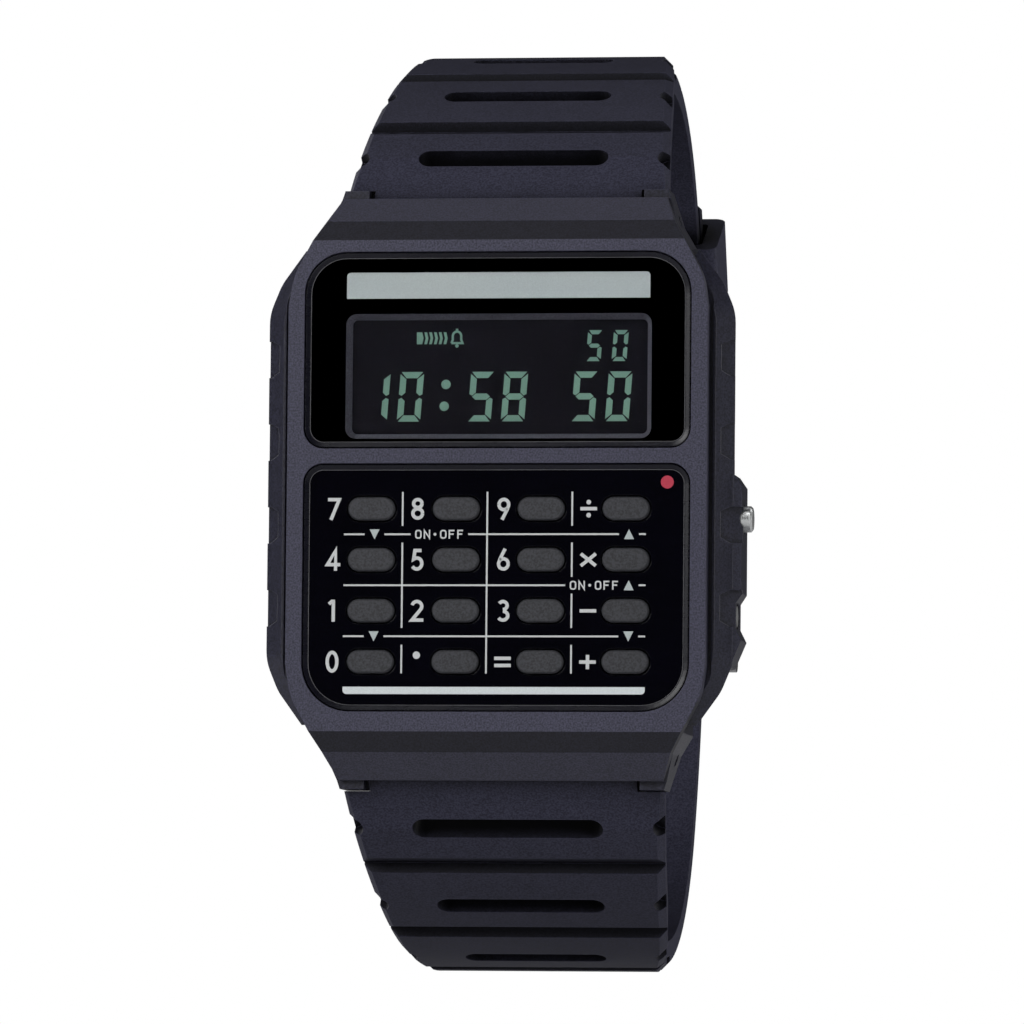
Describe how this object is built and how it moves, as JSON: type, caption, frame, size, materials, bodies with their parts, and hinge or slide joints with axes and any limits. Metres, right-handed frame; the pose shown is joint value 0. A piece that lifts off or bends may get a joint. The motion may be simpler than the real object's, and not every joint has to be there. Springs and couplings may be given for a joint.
{
  "type": "calculator watch",
  "caption": "Digital wristwatch with a rectangular resin case, a display window over a keypad of small keys, side pushers and a ribbed resin strap buckled into a loop.",
  "frame": {"origin": "centre of the case back's outer face", "axes": "+Z towards the 12 o'clock end, -Y out of the display, +X towards the pushers, +Y out of the case back into the strap loop"},
  "size_m": [0.036, 0.0609, 0.0704],
  "materials": {
    "bezel_resin": "fine grained satin resin",
    "case_resin": "satin resin",
    "brushed_steel": "brushed",
    "seal_rubber": "matte",
    "screw_steel": "turned",
    "clear_lens": "polished",
    "window_black": "gloss",
    "panel_black": "gloss",
    "frame_grey": "satin",
    "lcd_glass": "satin",
    "connector_rubber": "matte",
    "key_grey": "fine grained",
    "mat_rubber": "matte",
    "contact_film": "satin",
    "board_green": "satin",
    "module_plastic": "matte",
    "battery_steel": "brushed",
    "chip_black": "matte",
    "crystal_steel": "polished",
    "brass": "satin",
    "pusher_steel": "turned",
    "clip_steel": "satin",
    "spring_steel": "drawn wire",
    "bar_steel": "turned",
    "strap_resin": "fine grained matte resin",
    "buckle_steel": "brushed"
  },
  "bodies": {
    "case": {"bezel": "bezel_resin", "case_middle": "case_resin", "case_back": "brushed_steel", "battery_clip": "brushed_steel", "back_gasket": "seal_rubber", "back_screws": "screw_steel", "lens": "clear_lens", "display_mask": "window_black", "keypad_panel": "panel_black", "lcd_frame": "frame_grey", "lcd_panel": "lcd_glass", "lcd_connectors": "connector_rubber", "key_mat": "mat_rubber", "key_board": "contact_film", "circuit_board": "board_green", "module_frame": "module_plastic", "battery": "battery_steel", "controller_chip": "chip_black", "quartz_crystal": "crystal_steel", "sounder_disc": "brass", "sounder_spring": "brass", "mode_spring": "spring_steel", "adjust_spring": "spring_steel", "upper_bar_spring": "spring_steel", "lower_bar_spring": "spring_steel", "upper_bar_barrel": "bar_steel", "lower_bar_barrel": "bar_steel"},
    "key_11_body": {"key_11": "key_grey"},
    "key_12_body": {"key_12": "key_grey"},
    "key_13_body": {"key_13": "key_grey"},
    "key_14_body": {"key_14": "key_grey"},
    "key_21_body": {"key_21": "key_grey"},
    "key_22_body": {"key_22": "key_grey"},
    "key_23_body": {"key_23": "key_grey"},
    "key_24_body": {"key_24": "key_grey"},
    "key_31_body": {"key_31": "key_grey"},
    "key_32_body": {"key_32": "key_grey"},
    "key_33_body": {"key_33": "key_grey"},
    "key_34_body": {"key_34": "key_grey"},
    "key_41_body": {"key_41": "key_grey"},
    "key_42_body": {"key_42": "key_grey"},
    "key_43_body": {"key_43": "key_grey"},
    "key_44_body": {"key_44": "key_grey"},
    "mode_pusher": {"mode_button": "pusher_steel", "mode_seal": "seal_rubber", "mode_clip": "clip_steel"},
    "adjust_pusher": {"adjust_button": "pusher_steel", "adjust_seal": "seal_rubber", "adjust_clip": "clip_steel"},
    "upper_bar_tip_right_body": {"upper_bar_tip_right": "bar_steel"},
    "upper_bar_tip_left_body": {"upper_bar_tip_left": "bar_steel"},
    "lower_bar_tip_right_body": {"lower_bar_tip_right": "bar_steel"},
    "lower_bar_tip_left_body": {"lower_bar_tip_left": "bar_steel"},
    "short_strap": {"strap_short": "strap_resin", "buckle_pin": "buckle_steel"},
    "long_strap": {"strap_long": "strap_resin"},
    "buckle": {"buckle_frame": "buckle_steel"},
    "prong": {"buckle_prong": "buckle_steel"},
    "keeper": {"strap_keeper": "strap_resin"}
  },
  "joints": [
    {"name": "key_11_press", "type": "slide", "parent": "case", "child": "key_11_body", "axis": [0, 1, 0], "range_m": [0, 0.0004], "stiffness_N_per_m": 400, "springref_m": -0.0004},
    {"name": "key_12_press", "type": "slide", "parent": "case", "child": "key_12_body", "axis": [0, 1, 0], "range_m": [0, 0.0004], "stiffness_N_per_m": 400, "springref_m": -0.0004},
    {"name": "key_13_press", "type": "slide", "parent": "case", "child": "key_13_body", "axis": [0, 1, 0], "range_m": [0, 0.0004], "stiffness_N_per_m": 400, "springref_m": -0.0004},
    {"name": "key_14_press", "type": "slide", "parent": "case", "child": "key_14_body", "axis": [0, 1, 0], "range_m": [0, 0.0004], "stiffness_N_per_m": 400, "springref_m": -0.0004},
    {"name": "key_21_press", "type": "slide", "parent": "case", "child": "key_21_body", "axis": [0, 1, 0], "range_m": [0, 0.0004], "stiffness_N_per_m": 400, "springref_m": -0.0004},
    {"name": "key_22_press", "type": "slide", "parent": "case", "child": "key_22_body", "axis": [0, 1, 0], "range_m": [0, 0.0004], "stiffness_N_per_m": 400, "springref_m": -0.0004},
    {"name": "key_23_press", "type": "slide", "parent": "case", "child": "key_23_body", "axis": [0, 1, 0], "range_m": [0, 0.0004], "stiffness_N_per_m": 400, "springref_m": -0.0004},
    {"name": "key_24_press", "type": "slide", "parent": "case", "child": "key_24_body", "axis": [0, 1, 0], "range_m": [0, 0.0004], "stiffness_N_per_m": 400, "springref_m": -0.0004},
    {"name": "key_31_press", "type": "slide", "parent": "case", "child": "key_31_body", "axis": [0, 1, 0], "range_m": [0, 0.0004], "stiffness_N_per_m": 400, "springref_m": -0.0004},
    {"name": "key_32_press", "type": "slide", "parent": "case", "child": "key_32_body", "axis": [0, 1, 0], "range_m": [0, 0.0004], "stiffness_N_per_m": 400, "springref_m": -0.0004},
    {"name": "key_33_press", "type": "slide", "parent": "case", "child": "key_33_body", "axis": [0, 1, 0], "range_m": [0, 0.0004], "stiffness_N_per_m": 400, "springref_m": -0.0004},
    {"name": "key_34_press", "type": "slide", "parent": "case", "child": "key_34_body", "axis": [0, 1, 0], "range_m": [0, 0.0004], "stiffness_N_per_m": 400, "springref_m": -0.0004},
    {"name": "key_41_press", "type": "slide", "parent": "case", "child": "key_41_body", "axis": [0, 1, 0], "range_m": [0, 0.0004], "stiffness_N_per_m": 400, "springref_m": -0.0004},
    {"name": "key_42_press", "type": "slide", "parent": "case", "child": "key_42_body", "axis": [0, 1, 0], "range_m": [0, 0.0004], "stiffness_N_per_m": 400, "springref_m": -0.0004},
    {"name": "key_43_press", "type": "slide", "parent": "case", "child": "key_43_body", "axis": [0, 1, 0], "range_m": [0, 0.0004], "stiffness_N_per_m": 400, "springref_m": -0.0004},
    {"name": "key_44_press", "type": "slide", "parent": "case", "child": "key_44_body", "axis": [0, 1, 0], "range_m": [0, 0.0004], "stiffness_N_per_m": 400, "springref_m": -0.0004},
    {"name": "mode_press", "type": "slide", "parent": "case", "child": "mode_pusher", "axis": [-1, 0, 0], "range_m": [0, 0.0008], "stiffness_N_per_m": 500, "springref_m": -0.0005, "deforming": ["mode_spring"]},
    {"name": "adjust_press", "type": "slide", "parent": "case", "child": "adjust_pusher", "axis": [-1, 0, 0], "range_m": [0, 0.0005], "stiffness_N_per_m": 500, "springref_m": -0.0005, "deforming": ["adjust_spring"]},
    {"name": "upper_bar_tip_right_slide", "type": "slide", "parent": "case", "child": "upper_bar_tip_right_body", "axis": [-1, 0, 0], "range_m": [0, 0.0014], "stiffness_N_per_m": 400, "springref_m": -0.001, "deforming": ["upper_bar_spring"]},
    {"name": "upper_bar_tip_left_slide", "type": "slide", "parent": "case", "child": "upper_bar_tip_left_body", "axis": [1, 0, 0], "range_m": [0, 0.0014], "stiffness_N_per_m": 400, "springref_m": -0.001, "deforming": ["upper_bar_spring"]},
    {"name": "lower_bar_tip_right_slide", "type": "slide", "parent": "case", "child": "lower_bar_tip_right_body", "axis": [-1, 0, 0], "range_m": [0, 0.0014], "stiffness_N_per_m": 400, "springref_m": -0.001, "deforming": ["lower_bar_spring"]},
    {"name": "lower_bar_tip_left_slide", "type": "slide", "parent": "case", "child": "lower_bar_tip_left_body", "axis": [1, 0, 0], "range_m": [0, 0.0014], "stiffness_N_per_m": 400, "springref_m": -0.001, "deforming": ["lower_bar_spring"]},
    {"name": "long_strap_swing", "type": "hinge", "parent": "case", "child": "long_strap", "pos_m": [0, -0.0024, -0.02], "axis": [1, 0, 0], "range_deg": [-0.25, 0.25]},
    {"name": "short_strap_swing", "type": "hinge", "parent": "case", "child": "short_strap", "pos_m": [0, -0.0024, 0.02], "axis": [1, 0, 0], "range_deg": [-0.25, 0.25]},
    {"name": "buckle_fold", "type": "hinge", "parent": "short_strap", "child": "buckle", "pos_m": [0, 0.04681, 0.00291], "axis": [1, 0, 0], "range_deg": [0, 5]},
    {"name": "prong_fold", "type": "hinge", "parent": "short_strap", "child": "prong", "pos_m": [0, 0.04681, 0.00291], "axis": [1, 0, 0], "range_deg": [0, 5]},
    {"name": "keeper_slide", "type": "slide", "parent": "short_strap", "child": "keeper", "axis": [0, 0.4169, -0.909], "range_m": [0, 0.003]}
  ],
  "couplings": [
    {"joint": "short_strap_swing", "follows": "long_strap_swing", "ratio": 1},
    {"joint": "prong_fold", "follows": "buckle_fold", "ratio": 1}
  ]
}
